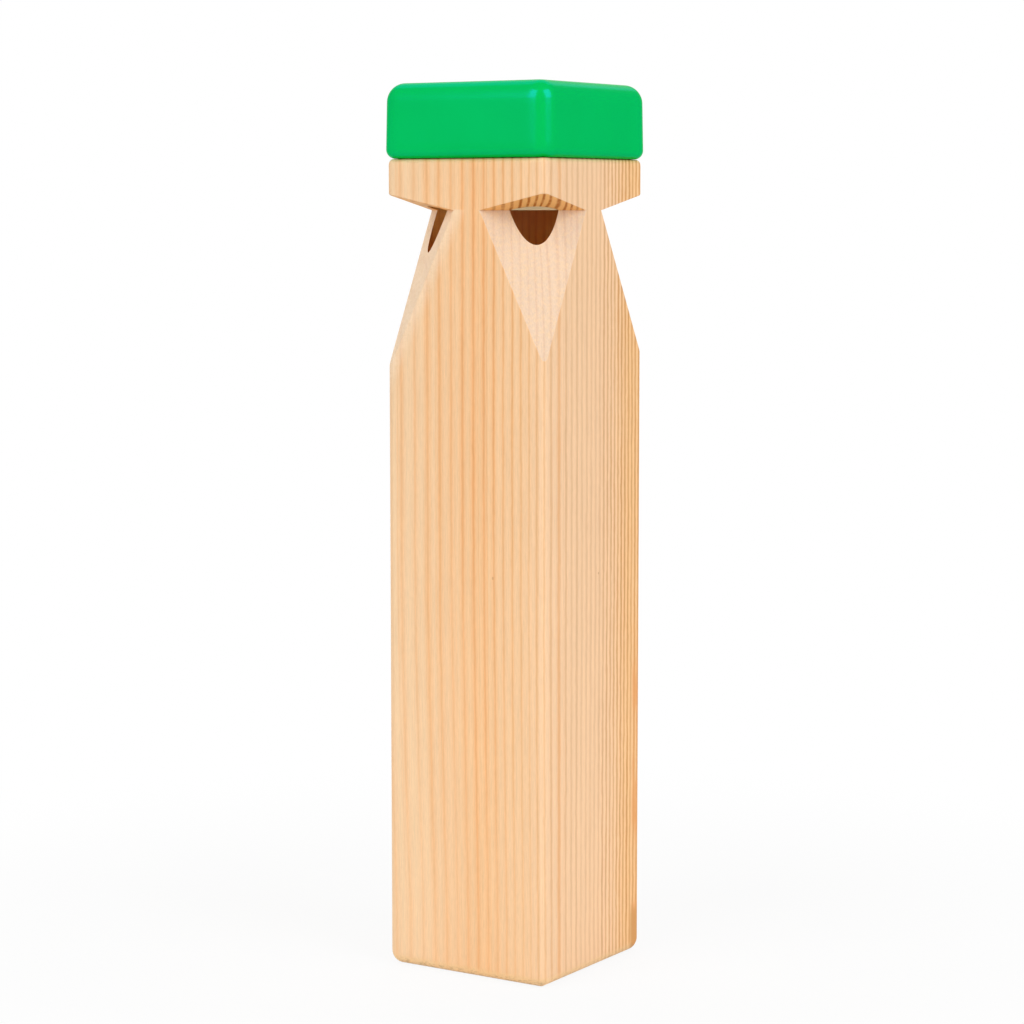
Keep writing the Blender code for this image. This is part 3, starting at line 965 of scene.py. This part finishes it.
def moulded_skin_group():
    """Faint unevenness of a moulded surface: a slow swell with a fine orange peel, and its gloss."""
    tree = bpy.data.node_groups.new("moulded_skin", 'ShaderNodeTree')
    tree.interface.new_socket("Position", in_out='INPUT', socket_type='NodeSocketVector')
    tree.interface.new_socket("Gloss", in_out='INPUT', socket_type='NodeSocketFloat')
    tree.interface.new_socket("Height", in_out='OUTPUT', socket_type='NodeSocketFloat')
    tree.interface.new_socket("Roughness", in_out='OUTPUT', socket_type='NodeSocketFloat')
    swell_scale, peel_scale, peel_share, gloss_change = 160.0, 1400.0, 0.12, 0.08
    nodes = Nodes(tree)
    given = nodes.add('NodeGroupInput')
    result = nodes.add('NodeGroupOutput')
    swell = nodes.noise(given.outputs['Position'], swell_scale, 1.0)
    peel = nodes.noise(given.outputs['Position'], peel_scale, 2.0)
    roughness = nodes.times_plus(swell, gloss_change, given.outputs['Gloss'])
    nodes.put(result.inputs['Height'], nodes.times_plus(peel, peel_share, swell))
    nodes.put(result.inputs['Roughness'], roughness)
    return tree


def moulded_plastic(name, group, colour, second_colour, roughness, depth):
    """A moulded plastic: two close tones in slow clouds, and the shared moulded skin."""
    cloud_scale = 90.0
    material, nodes, shader = new_material(name)
    position = nodes.add('ShaderNodeTexCoord').outputs['Object']
    skin = nodes.add('ShaderNodeGroup', node_tree=group)
    nodes.put(skin.inputs['Position'], position)
    skin.inputs['Gloss'].default_value = roughness
    cloud = nodes.noise(position, cloud_scale, 2.0)
    nodes.put(shader.inputs['Base Color'], nodes.mix(nodes.step(cloud, 0.3, 0.7), colour, second_colour))
    nodes.put(shader.inputs['Roughness'], skin.outputs['Roughness'])
    nodes.put(shader.inputs['Normal'], nodes.bump(skin.outputs['Height'], depth))
    return material, shader


def green_material(group):
    """Glossy green plastic. A high index with a dark tint keeps its reflections green at a slant."""
    material, shader = moulded_plastic("glossy_green", group, srgb(0, 192, 46), srgb(0, 195, 50),
                                       roughness=0.16, depth=0.012 * MM)
    shader.inputs['IOR'].default_value = 4.0
    shader.inputs['Specular Tint'].default_value = (0.006, 0.1, 0.27, 1.0)
    return material


def plug_material(group):
    """Off-white plastic of the plugs."""
    material, _ = moulded_plastic("plug_off_white", group, srgb(255, 228, 177), srgb(250, 221, 168),
                                  roughness=0.4, depth=0.01 * MM)
    return material


# Stage, light and camera

def put_surface(nodes, output, lit, shown, share):
    """Put a shader for light and one for show on an output. A share of the second counts for rays that show
    the background: from the camera, in a reflection or through glass."""
    path = nodes.add('ShaderNodeLightPath')
    seen = nodes.math('MAXIMUM', path.outputs['Is Camera Ray'], path.outputs['Is Glossy Ray'])
    seen = nodes.math('MAXIMUM', seen, path.outputs['Is Transmission Ray'])
    mixed = nodes.add('ShaderNodeMixShader')
    nodes.put(mixed.inputs['Fac'], nodes.times(seen, share))
    nodes.put(mixed.inputs[1], lit)
    nodes.put(mixed.inputs[2], shown)
    nodes.put(nodes.tree.nodes[output].inputs['Surface'], mixed.outputs['Shader'])


def make_floor():
    """White floor: a disc of rings about the object that glows white to the camera, all but a faint shadow
    near the object, and is plain white to the light."""
    first_radius, last_radius, rows, columns = 0.05, 6.0, 14, 64
    shadow_from, shadow_to, shadow_glow, white = 0.06, 0.2, 0.9, 0.82
    radius = np.geomspace(first_radius, last_radius, rows)[:, None]
    angle = np.linspace(0.0, 2 * math.pi, columns, endpoint=False)[None, :]
    floor_height = cad_low.z - 0.05 * MM
    plan = (radius * np.cos(angle), radius * np.sin(angle), floor_height)
    grid = np.stack(np.broadcast_arrays(*plan), axis=-1)
    faces = ring_faces(rows, columns)[:, ::-1].tolist() + [list(range(columns))]
    mesh = bpy.data.meshes.new("studio_floor")
    mesh.from_pydata(grid.reshape(-1, 3).tolist(), [], faces)
    material, nodes, shader = new_material("studio_white")
    nodes.tree.nodes.remove(shader)
    plain = nodes.add('ShaderNodeBsdfDiffuse')
    plain.inputs['Color'].default_value = (white, white, white, 1.0)
    glow = nodes.add('ShaderNodeEmission')
    glow.inputs['Strength'].default_value = 1.0
    position = nodes.add('ShaderNodeTexCoord').outputs['Object']
    distance = nodes.add('ShaderNodeVectorMath', operation='LENGTH')
    nodes.put(distance.inputs[0], position)
    share = nodes.step(distance.outputs['Value'], shadow_from, shadow_to, shadow_glow, 1.0)
    put_surface(nodes, 'Material Output', plain.outputs['BSDF'], glow.outputs['Emission'], share)
    mesh.materials.append(material)
    floor = bpy.data.objects.new("studio_floor", mesh)
    bpy.context.scene.collection.objects.link(floor)


def make_world(light):
    """White background for the camera and for reflections, and a soft even light for the rest."""
    world = bpy.data.worlds.new("studio_world")
    bpy.context.scene.world = world
    world.use_nodes = True
    nodes = Nodes(world.node_tree)
    soft = world.node_tree.nodes['Background']
    soft.inputs['Color'].default_value = (1.0, 1.0, 1.0, 1.0)
    soft.inputs['Strength'].default_value = light
    white = nodes.add('ShaderNodeBackground')
    white.inputs['Color'].default_value = (1.0, 1.0, 1.0, 1.0)
    put_surface(nodes, 'World Output', soft.outputs['Background'], white.outputs['Background'], 1.0)


def add_facing(name, data, aim, turn, rise, distance):
    """A light or camera at a distance from its aim, turned from the front and raised, that looks at it."""
    flat = math.cos(rise) * distance
    offset = Vector((math.sin(turn) * flat, -math.cos(turn) * flat, math.sin(rise) * distance))
    placed = bpy.data.objects.new(name, data)
    placed.location = aim + offset
    placed.rotation_euler = (aim - placed.location).to_track_quat('-Z', 'Y').to_euler()
    bpy.context.scene.collection.objects.link(placed)
    return placed


def add_softbox(name, aim, turn, rise, width, length, power):
    """A rectangular studio light that faces its aim: turned from the camera's side and raised in degrees,
    with its sides in metres and its power in watts."""
    light = bpy.data.lights.new(name, 'AREA')
    light.shape = 'RECTANGLE'
    light.size = width
    light.size_y = length
    light.energy = power
    add_facing(name, light, aim, CAMERA_TURN + math.radians(turn), math.radians(rise), LIGHT_DISTANCE)


def make_camera():
    """Camera at the photograph's angle, distance and lens."""
    camera = bpy.data.cameras.new("photo_camera")
    camera.lens = CAMERA_LENS
    camera.sensor_width = CAMERA_SENSOR
    camera.clip_start = CAMERA_NEAR
    aim = Vector((CAMERA_AIM_RIGHT * math.cos(CAMERA_TURN), CAMERA_AIM_RIGHT * math.sin(CAMERA_TURN),
                  CAMERA_AIM_HEIGHT))
    placed = add_facing("photo_camera", camera, aim, CAMERA_TURN, CAMERA_RISE, CAMERA_DISTANCE)
    bpy.context.scene.camera = placed


skin = moulded_skin_group()
make_block(pine_material())
make_plugs(plug_material(skin))
make_cap(green_material(skin))

make_floor()
make_world(light=0.34)
low_middle = Vector((0.0, 0.0, LIGHT_AIM_SHARE * cad_high.z))
add_softbox("left_softbox", low_middle, turn=-45.0, rise=32.0, width=0.95, length=1.18, power=10.6)
add_softbox("right_softbox", low_middle, turn=48.0, rise=32.0, width=0.95, length=1.18, power=11.75)
add_softbox("back_softbox", low_middle, turn=180.0, rise=50.0, width=1.6, length=1.0, power=6.0)
make_camera()
bpy.context.scene.view_settings.view_transform = 'Standard'
